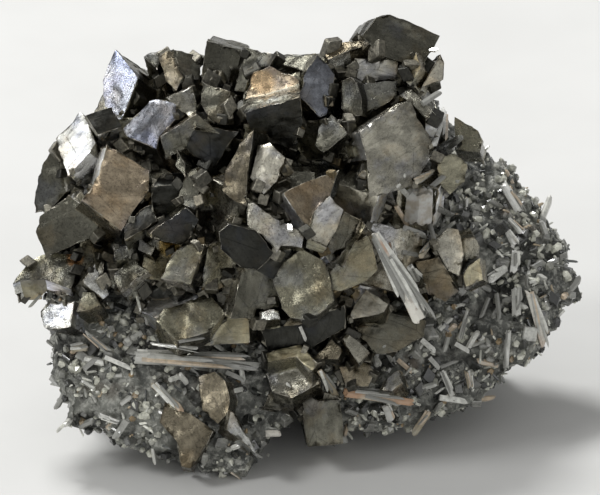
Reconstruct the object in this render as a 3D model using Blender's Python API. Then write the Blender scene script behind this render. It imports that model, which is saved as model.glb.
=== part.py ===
# Arsenopyrite specimen: intergrown steel-grey and bronze crystals on grey-green host rock, with
# pale prisms of quartz growing over both. Metres, +Z up, standing on its broken underside at z = 0.

import math
import random

import bmesh
import bpy
from mathutils import Matrix, Vector, noise
from mathutils.bvhtree import BVHTree

for old_object in list(bpy.data.objects):
    bpy.data.objects.remove(old_object, do_unlink=True)

# Driving dimensions
SPECIMEN_WIDTH = 0.075
TIP_BACK = math.radians(25)
GAP = 0.0003
MM = 0.001

# The specimen's front is drawn in picture points: x to the right, y down.
POINTS_ACROSS = 572
POINT = SPECIMEN_WIDTH / POINTS_ACROSS
FRONT_CENTRE = (300, 246)
TO_RIGHT = Vector((1, 0, 0))
TO_TOP = Vector((0, math.sin(TIP_BACK), math.cos(TIP_BACK)))
TO_FRONT = Vector((0, -math.cos(TIP_BACK), math.sin(TIP_BACK)))
FLOOR = -27.6 * MM

# The crystals stand nearest to the front at the cluster's middle: how near there and at its edge,
# in millimetres, and the middle and reach of that bulge in picture points.
BULGE_HEIGHT = 21
BULGE_FOOT = -8
BULGE_MIDDLE = (265, 235)
BULGE_REACH = (190, 170)


def place(x, y, near):
    """The spot at picture point (x, y) that stands near millimetres in front of the middle plane."""
    across = (x - FRONT_CENTRE[0]) * POINT
    up = (FRONT_CENTRE[1] - y) * POINT
    spot = TO_RIGHT * across + TO_TOP * up + TO_FRONT * (near * MM)
    return spot - Vector((0, 0, FLOOR))


def swell(x, y):
    """How near the crystals stand: the cluster bulges toward the front at its middle."""
    across = (x - BULGE_MIDDLE[0]) / BULGE_REACH[0]
    down = (y - BULGE_MIDDLE[1]) / BULGE_REACH[1]
    return BULGE_FOOT + BULGE_HEIGHT * math.exp(-(across ** 2) - down ** 2)


# Collections and materials
specimen = bpy.data.collections.new("arsenopyrite_specimen")
helpers = bpy.data.collections.new("helpers")
crystal_blocks = bpy.data.collections.new("crystal_blocks")
rock_blocks = bpy.data.collections.new("rock_blocks")
rock_pockets = bpy.data.collections.new("rock_pockets")
prism_pockets = bpy.data.collections.new("prism_pockets")
bpy.context.scene.collection.children.link(specimen)
bpy.context.scene.collection.children.link(helpers)
for group in (crystal_blocks, rock_blocks, rock_pockets, prism_pockets):
    helpers.children.link(group)


def finish_of(name, colour, roughness, metallic):
    material = bpy.data.materials.new(name)
    material.use_nodes = True
    shader = material.node_tree.nodes["Principled BSDF"]
    shader.inputs["Base Color"].default_value = (*colour, 1)
    shader.inputs["Roughness"].default_value = roughness
    shader.inputs["Metallic"].default_value = metallic
    return material


tarnished_steel = finish_of("tarnished_steel", (0.25, 0.22, 0.18), 0.35, 1.0)
host_rock = finish_of("host_rock", (0.22, 0.23, 0.2), 0.8, 0.0)
pale_quartz = finish_of("pale_quartz", (0.62, 0.58, 0.5), 0.35, 0.0)


def add_object(name, shape, group, material=None):
    """Turns a bmesh into an object of the group. A helper gets no material and isn't rendered."""
    bmesh.ops.recalc_face_normals(shape, faces=shape.faces)
    mesh = bpy.data.meshes.new(name)
    shape.to_mesh(mesh)
    shape.free()
    made = bpy.data.objects.new(name, mesh)
    group.objects.link(made)
    if material:
        mesh.materials.append(material)
    else:
        made.hide_render = True
        made.display_type = "WIRE"
    return made


def grow(shape, amount):
    """Moves every face of a closed shape outward by the same amount."""
    bmesh.ops.recalc_face_normals(shape, faces=shape.faces)
    shape.normal_update()
    moves = [(corner, corner.normal * corner.calc_shell_factor() * amount) for corner in shape.verts]
    for corner, move in moves:
        corner.co += move


def add_block(name, shape, solids, pockets=None):
    """Adds a helper block, and where asked the slightly larger block that makes room for it."""
    if pockets:
        larger = shape.copy()
        grow(larger, GAP)
        add_object(name + "_pocket", larger, pockets)
    return add_object(name, shape, solids)


# Arsenopyrite crystals that show from the front. Each has: how far its face stands in front of the
# swell in millimetres, the lean of that face to the right and upward, the crystal's length in
# millimetres behind the face, and the corners of the face in picture points.
CRYSTALS = {
    "mirror": (1, (-0.55, 0.35), 9, [
        (115, 49), (128, 64), (138, 78), (121, 122), (104, 106), (101, 80), (107, 63),
    ]),
    "dark_box": (3, (0.0, 0.3), 6, [(85, 115), (112, 106), (123, 127), (98, 135)]),
    "white": (2, (-0.35, 0.3), 8, [
        (80, 111), (54, 138), (57, 150), (68, 177), (90, 153), (96, 143), (84, 115),
    ]),
    "left_rough": (-1, (-0.5, -0.1), 9, [
        (52, 144), (37, 172), (31, 203), (33, 214), (48, 210), (66, 192), (57, 150),
    ]),
    "bronze": (3, (0.17, 0.2), 9, [
        (107, 142), (151, 170), (150, 190), (131, 217), (123, 232), (82, 201), (100, 175),
    ]),
    "bronze_rhomb": (2, (-0.1, 0.4), 7, [
        (124, 228), (140, 208), (154, 203), (158, 221), (143, 231), (126, 240),
    ]),
    "left_grey": (2, (-0.2, -0.12), 9, [
        (39, 216), (69, 195), (99, 218), (98, 236), (80, 243), (63, 251), (46, 259), (36, 232),
    ]),
    "left_ledge": (3, (-0.1, 0.5), 6, [
        (13, 284), (27, 262), (42, 254), (78, 252), (79, 262), (72, 290), (45, 280), (20, 281),
    ]),
    "cleavage": (7.5, (-0.4, 0.2), 7, [(50, 302), (76, 300), (72, 327), (60, 330), (45, 328), (42, 312)]),
    "left_wedge": (4.5, (0.25, 0.2), 6, [(96, 263), (111, 294), (104, 299), (95, 292), (82, 281)]),
    "left_shelf": (6, (-0.2, 0.3), 6, [(83, 291), (95, 292), (102, 305), (88, 311), (76, 312)]),
    "small_block": (1, (0.0, 0.4), 6, [(113, 247), (124, 244), (136, 250), (130, 258), (117, 262)]),
    "brown_block": (1, (-0.25, 0.4), 6, [(115, 272), (134, 258), (150, 271), (121, 291), (113, 282)]),
    "blue_block": (0, (-0.2, 0.3), 7, [(140, 238), (157, 246), (152, 256), (138, 250)]),
    "dark_smooth": (1, (0.1, -0.1), 8, [
        (149, 233), (172, 218), (187, 207), (200, 220), (195, 235), (182, 245), (151, 240),
    ]),
    "stepped_slab": (2, (-0.12, 0.2), 7, [
        (181, 246), (195, 242), (207, 243), (200, 262), (192, 285), (162, 278), (168, 265),
    ]),
    "narrow_left": (0, (-0.5, 0.1), 8, [
        (190, 170), (196, 167), (200, 175), (200, 205), (195, 210), (180, 203), (178, 195),
    ]),
    "tall_blade": (1, (-0.35, 0.1), 8, [
        (254, 130), (240, 145), (226, 170), (221, 190), (236, 203), (247, 206), (248, 180),
    ]),
    "streaked": (1, (-0.1, 0.3), 8, [
        (258, 146), (270, 143), (286, 158), (277, 182), (264, 195), (250, 178),
    ]),
    "great_upper": (1, (0.28, 0.2), 9, [
        (283, 193), (320, 176), (340, 170), (332, 195), (324, 226), (308, 232),
    ]),
    "great_lower": (1.5, (0.2, 0.05), 8, [
        (330, 195), (343, 210), (338, 228), (326, 248), (312, 241), (307, 231), (314, 212),
    ]),
    "great_foot": (1.5, (-0.1, -0.5), 4, [(306, 233), (312, 240), (326, 248), (322, 253), (306, 248)]),
    "light_olive": (0, (-0.1, 0.15), 8, [
        (247, 197), (274, 217), (305, 233), (302, 248), (281, 246), (277, 254), (262, 235), (247, 225),
    ]),
    "dark_roof": (1, (0.1, -0.15), 9, [
        (220, 232), (230, 224), (256, 230), (277, 255), (258, 272), (241, 268), (221, 250),
    ]),
    "dark_column": (-1, (0.35, -0.1), 8, [
        (243, 268), (272, 260), (281, 307), (259, 310), (255, 318), (231, 318),
    ]),
    "large_olive": (1.5, (0.0, 0.35), 8, [
        (209, 293), (226, 312), (211, 331), (178, 341), (156, 320), (165, 308), (190, 298),
    ]),
    "jagged_plate": (1, (-0.1, 0.12), 8, [
        (302, 249), (327, 262), (335, 300), (310, 320), (290, 318), (281, 308), (272, 279), (283, 261),
    ]),
    "flat_plate": (1, (0.1, -0.1), 8, [
        (345, 250), (367, 234), (372, 245), (379, 270), (365, 282), (341, 293), (330, 288), (322, 266),
    ]),
    "dark_strip": (-0.5, (0.2, -0.1), 8, [(344, 212), (362, 220), (349, 246), (326, 256), (326, 248)]),
    "light_streak": (0.5, (-0.3, 0.3), 6, [
        (361, 219), (367, 226), (351, 248), (342, 266), (331, 262), (346, 246),
    ]),
    "big_right": (4, (0.3, 0.05), 9, [
        (358, 132), (398, 105), (411, 101), (418, 118), (432, 140), (430, 160), (415, 185), (385, 195),
        (368, 198), (366, 160),
    ]),
    "bronze_top": (2, (-0.15, 0.3), 9, [(240, 114), (252, 71), (270, 66), (300, 80), (300, 99)]),
    "top_rough": (1, (-0.1, 0.8), 8, [(285, 55), (317, 52), (306, 72), (273, 62)]),
    "top_grey": (2, (0.35, 0.15), 8, [
        (304, 75), (317, 53), (327, 62), (335, 75), (327, 115), (320, 119), (300, 97),
    ]),
    "under_bronze": (0, (0.0, -0.5), 8, [
        (243, 113), (300, 98), (303, 125), (290, 152), (270, 143), (255, 140),
    ]),
    "lit_brown": (1, (-0.25, 0.3), 8, [
        (318, 127), (331, 114), (339, 120), (348, 134), (341, 140), (323, 154), (315, 146),
    ]),
    "upright": (2, (-0.3, 0.1), 8, [
        (340, 81), (351, 76), (357, 81), (362, 98), (362, 116), (349, 117), (340, 109),
    ]),
    "top_shelf": (0, (0.0, -0.2), 8, [(350, 74), (355, 58), (399, 60), (397, 80), (364, 82)]),
    "grey_triangle": (1, (0.0, 0.25), 8, [(364, 82), (398, 80), (395, 98), (385, 105), (366, 116)]),
    "plank": (2, (-0.1, 0.9), 5, [(323, 52), (333, 43), (377, 37), (378, 42), (350, 50), (328, 60)]),
    "top_right": (3, (0.25, 0.12), 9, [(361, 36), (376, 16), (391, 13), (441, 35), (422, 69), (384, 57)]),
    "top_beige": (4, (-0.3, 0.2), 7, [(416, 51), (421, 68), (410, 87), (402, 78)]),
    "top_right_end": (2, (0.3, 0.2), 7, [(441, 53), (446, 62), (445, 80), (436, 82), (421, 88), (432, 66)]),
    "flat_grey": (4, (0.0, 0.5), 7, [(410, 87), (418, 95), (437, 115), (425, 120), (411, 103), (398, 95)]),
    "rough_top": (1, (-0.1, -0.1), 9, [(206, 40), (243, 51), (232, 89), (201, 80)]),
    "long_face": (2, (-0.35, 0.2), 9, [(245, 47), (276, 55), (270, 66), (252, 71), (245, 93), (234, 91)]),
    "rusty_face": (2, (-0.3, 0.1), 8, [(201, 81), (231, 92), (219, 124), (207, 118), (200, 105)]),
    "beige_block": (2, (-0.45, 0.2), 8, [(158, 57), (168, 50), (174, 60), (184, 77), (176, 92), (165, 80)]),
    "olive_block": (1, (0.35, 0.25), 8, [(172, 48), (192, 54), (200, 60), (200, 80), (184, 79)]),
    "green_block": (0, (-0.15, 0.5), 8, [(142, 56), (150, 50), (168, 47), (160, 60), (157, 70)]),
    "blue_grey": (3, (-0.2, 0.4), 9, [
        (124, 129), (150, 101), (163, 98), (177, 105), (176, 120), (160, 137), (157, 150), (126, 137),
    ]),
    "between": (1, (0.25, 0.3), 8, [(166, 97), (192, 86), (198, 103), (197, 118), (178, 112)]),
    "dark_large": (0, (0.05, -0.1), 9, [
        (161, 137), (197, 113), (213, 128), (240, 132), (226, 152), (215, 172), (186, 150), (166, 160),
    ]),
    "small_light": (2, (-0.3, 0.2), 7, [(177, 149), (187, 163), (186, 178), (175, 166)]),
    "right_grey": (-1, (-0.1, 0.2), 7, [
        (455, 116), (466, 122), (479, 130), (484, 140), (481, 153), (455, 150),
    ]),
    "right_brown": (0, (0.1, 0.05), 7, [
        (437, 158), (455, 152), (468, 164), (466, 182), (450, 195), (436, 180),
    ]),
    "right_slab": (1, (0.1, 0.15), 7, [
        (433, 242), (447, 228), (459, 229), (465, 258), (460, 278), (447, 270),
    ]),
    "right_dark": (1, (0.0, -0.2), 7, [
        (414, 262), (438, 257), (449, 273), (460, 292), (445, 302), (428, 295),
    ]),
    "tan_rhomb": (3, (-0.2, 0.1), 5, [(480, 257), (483, 280), (463, 290), (461, 275), (467, 264)]),
    "behind_rhomb": (1, (0.1, -0.2), 6, [(461, 240), (475, 236), (481, 248), (480, 258), (465, 262)]),
    "hanging": (4, (0.05, -0.05), 8, [(303, 398), (341, 399), (344, 444), (307, 447), (302, 420)]),
    "lower_ledge": (3, (0.0, 0.6), 6, [
        (265, 352), (301, 343), (320, 366), (312, 372), (296, 356), (268, 362),
    ]),
    "lower_block": (3, (-0.05, 0.4), 8, [(265, 372), (298, 357), (322, 382), (292, 398), (272, 392)]),
    "lower_point": (2, (-0.2, 0.2), 6, [(331, 337), (343, 350), (338, 359), (313, 359)]),
    "edged_rhomb": (4, (0.1, 0.15), 6, [(347, 331), (371, 352), (359, 366), (341, 338)]),
    "dark_lower": (3, (0.0, 0.1), 7, [(338, 366), (368, 362), (374, 372), (368, 386), (345, 386)]),
    "lower_grey": (2, (-0.1, 0.4), 7, [
        (366, 288), (389, 303), (384, 312), (362, 317), (348, 320), (353, 303),
    ]),
    "ribbed": (2, (0.1, -0.1), 8, [
        (351, 325), (360, 318), (385, 311), (427, 320), (424, 336), (400, 350), (375, 355),
    ]),
    "shadow_band": (0, (-0.05, -0.4), 8, [
        (255, 318), (310, 320), (345, 304), (347, 330), (330, 337), (310, 350), (268, 350),
    ]),
    "olive_chip": (1, (0.0, 0.3), 6, [(259, 309), (280, 308), (281, 319), (258, 321)]),
    "rounded_brown": (4, (-0.3, 0.1), 8, [
        (196, 375), (215, 370), (226, 380), (231, 398), (228, 412), (218, 424), (203, 410),
    ]),
    "pale_wedge": (8, (0.3, 0.1), 5, [(230, 408), (237, 412), (258, 455), (240, 440), (226, 430)]),
    "cavity_rhomb": (2, (0.2, 0.2), 6, [(262, 408), (275, 380), (290, 402), (280, 410)]),
    "tan_rib": (8, (-0.1, 0.12), 5, [
        (165, 398), (200, 418), (215, 430), (205, 450), (191, 468), (181, 466), (176, 440), (158, 422),
    ]),
    "bottom_grey": (4, (-0.2, 0.3), 6, [(377, 390), (390, 372), (399, 368), (402, 382), (392, 391)]),
}


def flat_face(shape, corners):
    return shape.faces.new([shape.verts.new(corner) for corner in corners])


def crystal_block(outline, near, lean, length):
    """A straight crystal: its face is a flat outline, and the body runs square behind it."""
    middle_x = sum(x for x, y in outline) / len(outline)
    middle_y = sum(y for x, y in outline) / len(outline)
    corners = []
    for x, y in outline:
        slope = lean[0] * (x - middle_x) - lean[1] * (y - middle_y)
        corners.append(place(x, y, near - slope * POINT / MM))
    behind = -(TO_RIGHT * lean[0] + TO_TOP * lean[1] + TO_FRONT).normalized() * length * MM
    shape = bmesh.new()
    face = flat_face(shape, corners)
    back = bmesh.ops.extrude_face_region(shape, geom=[face], use_keep_orig=True)
    moved = [item for item in back["geom"] if isinstance(item, bmesh.types.BMVert)]
    bmesh.ops.translate(shape, verts=moved, vec=behind)
    return shape


for title, (forward, lean, length, outline) in CRYSTALS.items():
    middle_x = sum(x for x, y in outline) / len(outline)
    middle_y = sum(y for x, y in outline) / len(outline)
    near = swell(middle_x, middle_y) + forward
    add_block(title, crystal_block(outline, near, lean, length), crystal_blocks)


# Crystals behind and between those: sheared blocks at seeded turns, under the front ones and
# along the rim, so that the gaps, the sides and the top show crystals too.
UNDER_START = (60, 80)
UNDER_SPACING = 60
UNDER_ROWS = 9
UNDER_COLUMNS = 12
UNDER_DEPTH = 5.0
UNDER_HALF_SIZE = (2.6, 3.6)
BLOCK_LEAN = (0.15, 0.45)
BLOCK_WIDTH = (0.75, 1.0)
BLOCK_HEIGHT = (0.9, 1.3)
CLUSTER_MIDDLE = (255, 215)
CLUSTER_REACH = (185, 140)
RIM_HALF_SIZE = (2.8, 3.8)
RIM_DEPTHS = (6, 12)
RIM_INSET = (44, 58)
RIM_SPOTS = [
    (40, 285), (48, 232), (50, 190), (68, 148), (104, 100), (134, 72), (176, 70), (220, 62),
    (262, 72), (306, 66), (346, 52), (388, 34), (424, 62), (434, 100),
]
chance = random.Random(11)


def sheared_block(centre, half):
    """A rhombic block like the crystals', turned at random."""
    shape = bmesh.new()
    bmesh.ops.create_cube(shape, size=2)
    lean = chance.uniform(*BLOCK_LEAN)
    width = half * chance.uniform(*BLOCK_WIDTH)
    height = half * chance.uniform(*BLOCK_HEIGHT)
    stretch = Matrix.Diagonal((half, width, height, 1))
    shear = Matrix(((1, lean, 0, 0), (0, 1, 0, 0), (0, 0, 1, 0), (0, 0, 0, 1)))
    axis = Vector((chance.uniform(-1, 1), chance.uniform(-1, 1), chance.uniform(-1, 1))).normalized()
    turn = Matrix.Rotation(chance.uniform(0, math.tau), 4, axis)
    bmesh.ops.transform(shape, matrix=Matrix.Translation(centre) @ turn @ shear @ stretch, verts=shape.verts)
    return shape


def in_cluster(x, y):
    """Whether a picture point lies well inside the front of the crystal cluster."""
    across = (x - CLUSTER_MIDDLE[0]) / CLUSTER_REACH[0]
    down = (y - CLUSTER_MIDDLE[1]) / CLUSTER_REACH[1]
    return across ** 2 + down ** 2 < 1


under_count = 0
for row in range(UNDER_ROWS):
    for column in range(UNDER_COLUMNS):
        x = UNDER_START[0] + column * UNDER_SPACING + (row % 2) * UNDER_SPACING / 2
        y = UNDER_START[1] + row * UNDER_SPACING
        half = chance.uniform(*UNDER_HALF_SIZE) * MM
        if in_cluster(x, y):
            under_count += 1
            centre = place(x, y, swell(x, y) - UNDER_DEPTH)
            add_block(f"under_{under_count:02d}", sheared_block(centre, half), crystal_blocks)

for layer, depth in enumerate(RIM_DEPTHS):
    for index, (x, y) in enumerate(RIM_SPOTS):
        inward = Vector((FRONT_CENTRE[0] - x, FRONT_CENTRE[1] - y)).normalized() * RIM_INSET[layer]
        centre = place(x + inward.x, y + inward.y, swell(x, y) - depth)
        half = chance.uniform(*RIM_HALF_SIZE) * MM
        add_block(f"rim_{layer}_{index:02d}", sheared_block(centre, half), crystal_blocks)

# The crystals' shared root: they all grow from one mass, which shows only deep in the gaps.
ROOT_CENTRE = (250, 215, -7)
ROOT_RADII = (0.0225, 0.0165, 0.0105)


def root_mass():
    shape = bmesh.new()
    bmesh.ops.create_icosphere(shape, subdivisions=1, radius=1)
    middle = place(*ROOT_CENTRE)
    for corner in shape.verts:
        away = corner.co.copy()
        corner.co = middle + TO_RIGHT * away.x * ROOT_RADII[0] + TO_TOP * away.y * ROOT_RADII[1]
        corner.co += TO_FRONT * away.z * ROOT_RADII[2]
    return shape


add_block("root", root_mass(), crystal_blocks)

# Host rock: one lump that fills the outline seen from the front, swells to both sides of it, is
# broken off flat underneath, and carries chunks of rock on its surface.
ROCK_CENTRE = (300, 290)
ROCK_OUTLINE = [
    (50, 336), (46, 349), (49, 367), (57, 386), (55, 398), (75, 414), (92, 437), (112, 445), (142, 449),
    (163, 468), (182, 468), (200, 466), (223, 477), (242, 479), (268, 464), (275, 440), (289, 422),
    (302, 418), (344, 432), (379, 435), (400, 434), (414, 437), (425, 424), (440, 421), (474, 412),
    (489, 395), (515, 375), (538, 362), (562, 330), (579, 309), (584, 262), (572, 244), (562, 222),
    (538, 207), (531, 188), (510, 165), (485, 149), (462, 125), (430, 90), (390, 60), (300, 80),
    (200, 85), (120, 120), (75, 180), (50, 250), (40, 300),
]
ROCK_SEGMENTS = 44
ROCK_RINGS = 12
ROCK_FRONT_DEPTH = 5
ROCK_BACK_DEPTH = 13
ROCK_FULLNESS = 0.75
ROCK_EDGE_SHARPNESS = 8
ROCK_MIDDLE = -9
ROCK_LEAN = (-0.02, 0.04)
ROUGHNESS_SIZE = 0.008
ROUGHNESS_HEIGHT = 0.0017
FINER_ROUGHNESS = (2.3, 0.5)
SLACK = 1e-6


def rock_reach(angle):
    """How far the rock's outline lies from its centre in this direction, in picture points."""
    way = Vector((math.cos(angle), -math.sin(angle)))
    reach = 0
    for (x0, y0), (x1, y1) in zip(ROCK_OUTLINE, ROCK_OUTLINE[1:] + ROCK_OUTLINE[:1]):
        start = Vector((x0 - ROCK_CENTRE[0], y0 - ROCK_CENTRE[1]))
        side = Vector((x1 - x0, y1 - y0))
        turn = way.x * side.y - way.y * side.x
        if abs(turn) < SLACK:
            continue
        along = (start.x * side.y - start.y * side.x) / turn
        share = (start.x * way.y - start.y * way.x) / turn
        if along > 0 and -SLACK <= share <= 1 + SLACK:
            reach = max(reach, along)
    return reach


def rock_lump():
    shape = bmesh.new()
    bmesh.ops.create_uvsphere(shape, u_segments=ROCK_SEGMENTS, v_segments=ROCK_RINGS, radius=1)
    for corner in shape.verts:
        away = corner.co.copy()
        flat = min(1, math.hypot(away.x, away.y))
        angle = math.atan2(away.y, away.x)
        reach = rock_reach(angle) * flat ** ROCK_FULLNESS
        x = ROCK_CENTRE[0] + math.cos(angle) * reach
        y = ROCK_CENTRE[1] - math.sin(angle) * reach
        lean = ROCK_LEAN[0] * (x - ROCK_CENTRE[0]) + ROCK_LEAN[1] * (y - ROCK_CENTRE[1])
        depth = ROCK_FRONT_DEPTH if away.z > 0 else ROCK_BACK_DEPTH
        rise = depth * math.copysign(abs(away.z) ** ROCK_FULLNESS, away.z)
        spot = place(x, y, ROCK_MIDDLE + lean + rise)
        outward = (spot - place(*ROCK_CENTRE, ROCK_MIDDLE)).normalized()
        finer, share = FINER_ROUGHNESS
        bump = noise.noise(spot / ROUGHNESS_SIZE) + share * noise.noise(spot / ROUGHNESS_SIZE * finer)
        corner.co = spot + outward * bump * ROUGHNESS_HEIGHT * (1 - flat ** ROCK_EDGE_SHARPNESS)
    return shape


# The rock's thicker back, down to the ground, on which the specimen rests together with its
# front lobe. Each swelling has its middle and its reach along X, Y and Z.
BACK_SWELLINGS = {
    "back_right": ((0.004, 0.0135, 0.010), (0.026, 0.0125, 0.0145)),
    "back_left": ((-0.013, 0.006, 0.014), (0.017, 0.012, 0.013)),
}
SWELLING_ROUGHNESS = 0.22
SWELLING_BUMPS = 1.7
SWELLING_SEED = 100


def rock_swelling(middle, reach):
    shape = bmesh.new()
    bmesh.ops.create_icosphere(shape, subdivisions=2, radius=1)
    for corner in shape.verts:
        seed = Vector(middle) * SWELLING_SEED
        bump = 1 + SWELLING_ROUGHNESS * noise.noise(corner.co * SWELLING_BUMPS + seed)
        away = Vector([share * size * bump for share, size in zip(corner.co, reach)])
        corner.co = Vector(middle) + away
    return shape


def surface_of(*objects):
    """The shared surface of these objects, for finding spots on it."""
    graph = bpy.context.evaluated_depsgraph_get()
    joined = bmesh.new()
    for item in objects:
        mesh = item.evaluated_get(graph).to_mesh()
        joined.from_mesh(mesh)
    tree = BVHTree.FromBMesh(joined)
    joined.free()
    return tree


def unite(name, solids, material):
    """One solid from all the overlapping blocks of a collection."""
    blocks = list(solids.objects)
    first = blocks[0]
    made = bpy.data.objects.new(name, first.data.copy())
    specimen.objects.link(made)
    made.data.materials.clear()
    made.data.materials.append(material)
    solids.objects.unlink(first)
    helpers.objects.link(first)
    join = made.modifiers.new("join", "BOOLEAN")
    join.operation = "UNION"
    join.operand_type = "COLLECTION"
    join.collection = solids
    join.solver = "EXACT"
    return made


def cut_away(target, cutters):
    cut = target.modifiers.new("cut", "BOOLEAN")
    cut.operation = "DIFFERENCE"
    cut.operand_type = "COLLECTION"
    cut.collection = cutters
    cut.solver = "EXACT"


def settle(target):
    """Keeps the shape that the modifiers give as flat faces, and takes the modifiers off."""
    bpy.context.view_layer.update()
    graph = bpy.context.evaluated_depsgraph_get()
    shaped = bpy.data.meshes.new_from_object(target.evaluated_get(graph))
    target.modifiers.clear()
    target.data = shaped


def body_volume(body):
    return sum(face.calc_area() * face.normal.dot(face.calc_center_median()) for face in body) / 3


def islands_of(shape):
    """The separate closed bodies of a bmesh, largest volume first, as lists of faces."""
    left = set(shape.faces)
    found = []
    while left:
        start = left.pop()
        body = [start]
        for face in body:
            for edge in face.edges:
                for other in edge.link_faces:
                    if other in left:
                        left.remove(other)
                        body.append(other)
        found.append(body)
    return sorted(found, key=body_volume, reverse=True)


# Chunks of rock that stand out of the lump: seeded places all over it, front, back and sides.
CHUNK_COUNT = 30
CHUNK_HALF_SIZE = (0.0014, 0.0028)
CHUNK_SINK = 0.0006
CHUNK_TURNS = 21
CHUNK_SPREAD = (2, 1.5)
FAR_AWAY = 0.1
lump = add_block("lump", rock_lump(), rock_blocks, rock_pockets)
for title, (middle, reach) in BACK_SWELLINGS.items():
    add_block(title, rock_swelling(middle, reach), rock_blocks, rock_pockets)
lump_surface = surface_of(lump)
lump_middle = place(*ROCK_CENTRE, ROCK_MIDDLE)
for index in range(CHUNK_COUNT):
    turn = math.tau * index / CHUNK_COUNT * CHUNK_TURNS
    height = 1 - 2 * (index + 0.5) / CHUNK_COUNT
    flat = math.sqrt(1 - height * height)
    sideways = TO_RIGHT * math.cos(turn) * flat * CHUNK_SPREAD[0]
    upward = TO_TOP * math.sin(turn) * flat * CHUNK_SPREAD[1]
    way = (sideways + upward + TO_FRONT * height).normalized()
    spot, slope, face, distance = lump_surface.ray_cast(lump_middle + way * FAR_AWAY, -way)
    half = chance.uniform(*CHUNK_HALF_SIZE)
    sink = CHUNK_SINK + half * flat ** 4
    add_block(f"chunk_{index:02d}", sheared_block(spot - way * sink, half), rock_blocks, rock_pockets)

# The rock and the crystals are joined each into one solid, and the crystals are cut back where
# the rock stands.
matrix = unite("matrix", rock_blocks, host_rock)
settle(matrix)
cluster = unite("arsenopyrite_cluster", crystal_blocks, tarnished_steel)
settle(cluster)
cut_away(cluster, rock_pockets)
settle(cluster)

# Pale prisms: flattened six-sided columns that lie on the crystals and the rock. Each has: its two
# ends in picture points, its width at each end in millimetres, and how far each end is lifted off
# the surface under it in millimetres.
PRISMS = {
    "upper_blade": ((446, 108), (434, 146), (1.1, 1.0), (0.8, 0.6)),
    "grey_stub": ((462, 137), (449, 148), (0.9, 0.9), (0.4, 0.4)),
    "small_tan": ((435, 169), (415, 183), (0.6, 0.9), (0.9, 0.9)),
    "glassy_hexagon": ((420, 189), (418, 222), (4.0, 4.4), (0.4, 0.2)),
    "right_column": ((504, 181), (523, 213), (1.4, 1.4), (1.1, 0.7)),
    "right_short": ((510, 217), (524, 234), (0.8, 0.9), (0.6, 0.4)),
    "right_bend": ((507, 228), (518, 248), (0.8, 1.1), (0.6, 1.0)),
    "right_bend_lower": ((517, 250), (515, 274), (1.1, 1.2), (1.0, 0.4)),
    "right_slanted": ((507, 268), (490, 281), (1.3, 1.2), (0.6, 0.4)),
    "middle_tan": ((437, 234), (420, 257), (0.9, 0.9), (0.9, 0.5)),
    "middle_lower": ((409, 266), (424, 290), (1.1, 1.1), (0.4, 0.8)),
    "great_prism": ((372, 231), (420, 322), (1.0, 2.1), (1.2, 1.4)),
    "great_prism_side": ((390, 241), (397, 264), (0.7, 0.8), (0.8, 0.4)),
    "right_tall": ((529, 289), (547, 348), (1.0, 1.3), (0.6, 0.6)),
    "right_block": ((517, 287), (518, 318), (1.4, 1.5), (0.6, 0.2)),
    "right_thin": ((469, 308), (459, 342), (0.6, 0.6), (0.5, 0.4)),
    "right_low_column": ((510, 329), (507, 371), (0.9, 0.9), (0.4, 0.6)),
    "lower_right_stub": ((441, 369), (454, 399), (0.8, 0.9), (0.3, 0.6)),
    "lower_right_blade": ((467, 368), (472, 392), (1.0, 1.0), (0.4, 0.4)),
    "long_pink": ((342, 392), (415, 403), (1.4, 1.2), (1.8, 1.6)),
    "gold_prism": ((319, 369), (337, 397), (0.9, 1.1), (0.8, 1.2)),
    "hanging_column": ((384, 404), (392, 424), (1.1, 1.2), (0.2, 0.6)),
    "low_blade": ((430, 411), (413, 436), (1.1, 1.2), (0.3, 0.3)),
    "grey_sheaf": ((133, 357), (262, 367), (2.0, 1.4), (0.8, 1.2)),
    "grey_sheaf_thin": ((150, 343), (200, 348), (0.5, 0.6), (0.9, 0.8)),
    "pink_column": ((151, 382), (184, 411), (1.0, 1.1), (0.8, 0.7)),
    "left_tan": ((69, 349), (90, 347), (1.1, 1.2), (0.6, 0.4)),
    "left_grey_column": ((84, 331), (112, 352), (0.7, 0.6), (0.6, 0.5)),
    "low_left_column": ((98, 414), (121, 423), (0.8, 0.8), (0.4, 0.4)),
}
PRISM_FLATNESS = 0.65
PRISM_SAMPLES = 5
HUMP_SHARE = 0.7


def depth_at(surface, x, y):
    """How near the surface is to the front at a picture point, in millimetres."""
    start = place(x, y, FAR_AWAY / MM)
    spot, slope, face, distance = surface.ray_cast(start, -TO_FRONT)
    return (FAR_AWAY - distance) / MM if spot else None


def prism_column(surface, first, last, widths, lifts):
    """A six-sided column lying from one picture point to the other on the surface."""
    depths = []
    for step in range(PRISM_SAMPLES):
        share = step / (PRISM_SAMPLES - 1)
        x = first[0] + (last[0] - first[0]) * share
        y = first[1] + (last[1] - first[1]) * share
        depths.append(depth_at(surface, x, y))
    known = [depth for depth in depths if depth is not None]
    ends = [min(known) if depth is None else depth for depth in (depths[0], depths[-1])]
    hump = 0
    for step, depth in enumerate(depths):
        share = step / (PRISM_SAMPLES - 1)
        if depth is not None:
            hump = max(hump, depth - ends[0] - (ends[1] - ends[0]) * share)
    start = place(*first, ends[0] + lifts[0] + hump * HUMP_SHARE)
    end = place(*last, ends[1] + lifts[1] + hump * HUMP_SHARE)
    along = end - start
    radii = [width * MM / 2 for width in widths]
    shape = bmesh.new()
    bmesh.ops.create_cone(
        shape, cap_ends=True, segments=6, radius1=radii[0], radius2=radii[1], depth=along.length
    )
    sideways = along.cross(TO_FRONT).normalized()
    outward = sideways.cross(along).normalized()
    turn = Matrix((sideways, outward * PRISM_FLATNESS, along.normalized())).transposed().to_4x4()
    bmesh.ops.transform(shape, matrix=Matrix.Translation((start + end) / 2) @ turn, verts=shape.verts)
    return shape


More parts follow.
